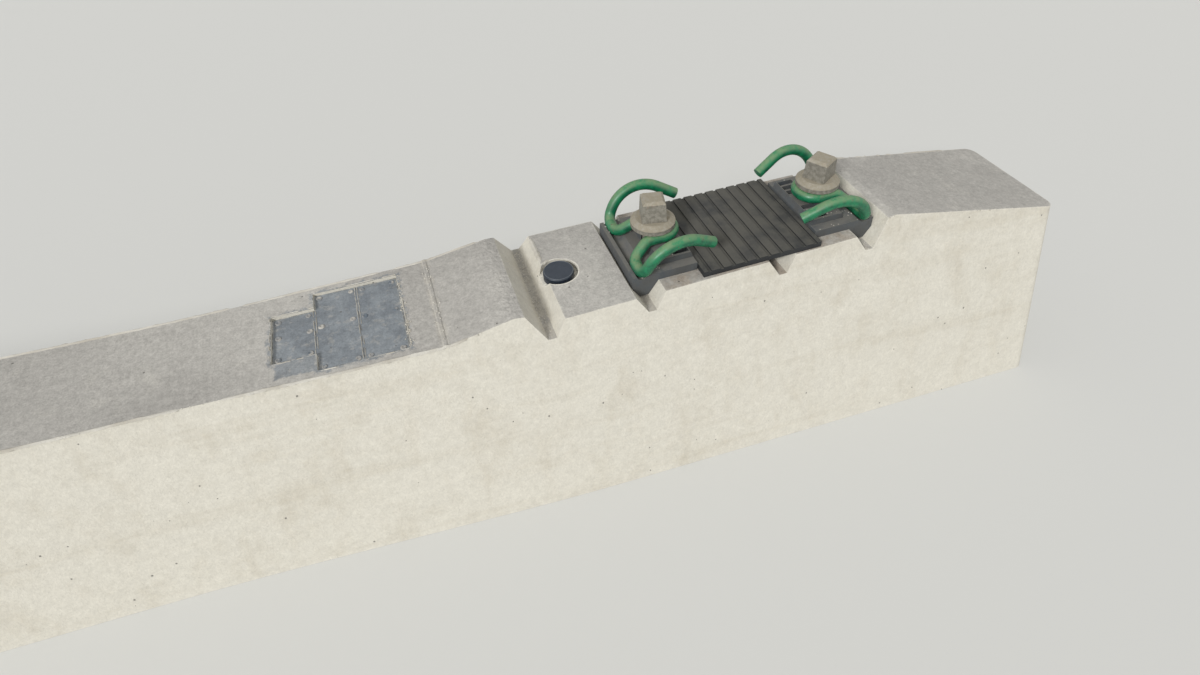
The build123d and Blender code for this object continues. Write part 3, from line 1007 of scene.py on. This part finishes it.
studio = {
    "floor": "#D2D2CE",
    "floorReach": 30, "floorGapMm": 0.2,
    "background": "#EDECE8",
    "worldStrength": 0.50, "lampDistance": 5,
    "key": {"strength": 2.4, "softness": 14, "azimuth": -48, "elevation": 31},
    "fill": {"strength": 0.35, "softness": 70, "azimuth": 60, "elevation": 45},
}
camera = {
    "target": (0.68, -0.05, 0.16), "azimuth": -19, "elevation": 44, "distance": 0.81,
    "lens": 20.5, "sensor": 36, "clipStart": 0.02,
}


def directionTo(azimuth, elevation):
    # azimuth 0 looks from the front, along +Y
    azimuth, elevation = math.radians(azimuth), math.radians(elevation)
    level = math.cos(elevation)
    return Vector((math.sin(azimuth) * level, -math.cos(azimuth) * level, math.sin(elevation)))


def placeFacing(thing, place, target):
    thing.location = place
    thing.rotation_mode = "QUATERNION"
    thing.rotation_quaternion = (target - place).to_track_quat("-Z", "Y")
    bpy.context.scene.collection.objects.link(thing)


def makeFloor():
    reach = studio["floorReach"]
    mesh = bpy.data.meshes.new("studioFloor")
    corners = [(x * reach, y * reach, 0) for x, y in ((-1, -1), (1, -1), (1, 1), (-1, 1))]
    mesh.from_pydata(corners, [], [(0, 1, 2, 3)])
    floor = bpy.data.objects.new("studioFloor", mesh)
    floor.location.z = cadBox[0][2] - studio["floorGapMm"] * mm
    bpy.context.scene.collection.objects.link(floor)
    material = bpy.data.materials.new("paleFloor")
    material.use_nodes = True
    tree = material.node_tree
    tree.nodes.clear()
    paint = addNode(tree, "ShaderNodeBsdfPrincipled", {"Base Color": studio["floor"], "Roughness": 0.9})
    addNode(tree, "ShaderNodeOutputMaterial", {"Surface": paint})
    mesh.materials.append(material)


def makeLight():
    world = bpy.data.worlds.new("studioWorld")
    bpy.context.scene.world = world
    world.use_nodes = True
    tree = world.node_tree
    tree.nodes.clear()
    # the camera and shiny surfaces see the background, and everything else is lit more softly
    seen = addNode(tree, "ShaderNodeLightPath").outputs
    direct = seen["Is Camera Ray"]
    for ray in ("Is Glossy Ray", "Is Transmission Ray"):
        direct = addNode(tree, "ShaderNodeMath", {0: direct, 1: seen[ray]}, operation="MAXIMUM")
    lit = addNode(tree, "ShaderNodeBackground", {"Color": "#FFFFFF", "Strength": studio["worldStrength"]})
    shown = addNode(tree, "ShaderNodeBackground", {"Color": studio["background"], "Strength": 1.0})
    mixed = addNode(tree, "ShaderNodeMixShader", {0: direct, 1: lit, 2: shown})
    addNode(tree, "ShaderNodeOutputWorld", {0: mixed})
    for name in ("key", "fill"):
        light = bpy.data.lights.new(name + "Light", "SUN")
        light.energy = studio[name]["strength"]
        light.angle = math.radians(studio[name]["softness"])
        lamp = bpy.data.objects.new(name + "Light", light)
        towards = directionTo(studio[name]["azimuth"], studio[name]["elevation"])
        placeFacing(lamp, towards * studio["lampDistance"], Vector((0, 0, 0)))


def makeCamera():
    data = bpy.data.cameras.new("photoCamera")
    data.sensor_width = camera["sensor"]
    data.lens = camera["lens"]
    data.clip_start = camera["clipStart"]
    eye = bpy.data.objects.new("photoCamera", data)
    target = Vector(camera["target"])
    towards = directionTo(camera["azimuth"], camera["elevation"])
    placeFacing(eye, target + towards * camera["distance"], target)
    bpy.context.scene.camera = eye


makeFloor()
makeLight()
makeCamera()
bpy.context.scene.view_settings.view_transform = "Standard"
print("studio and camera set")
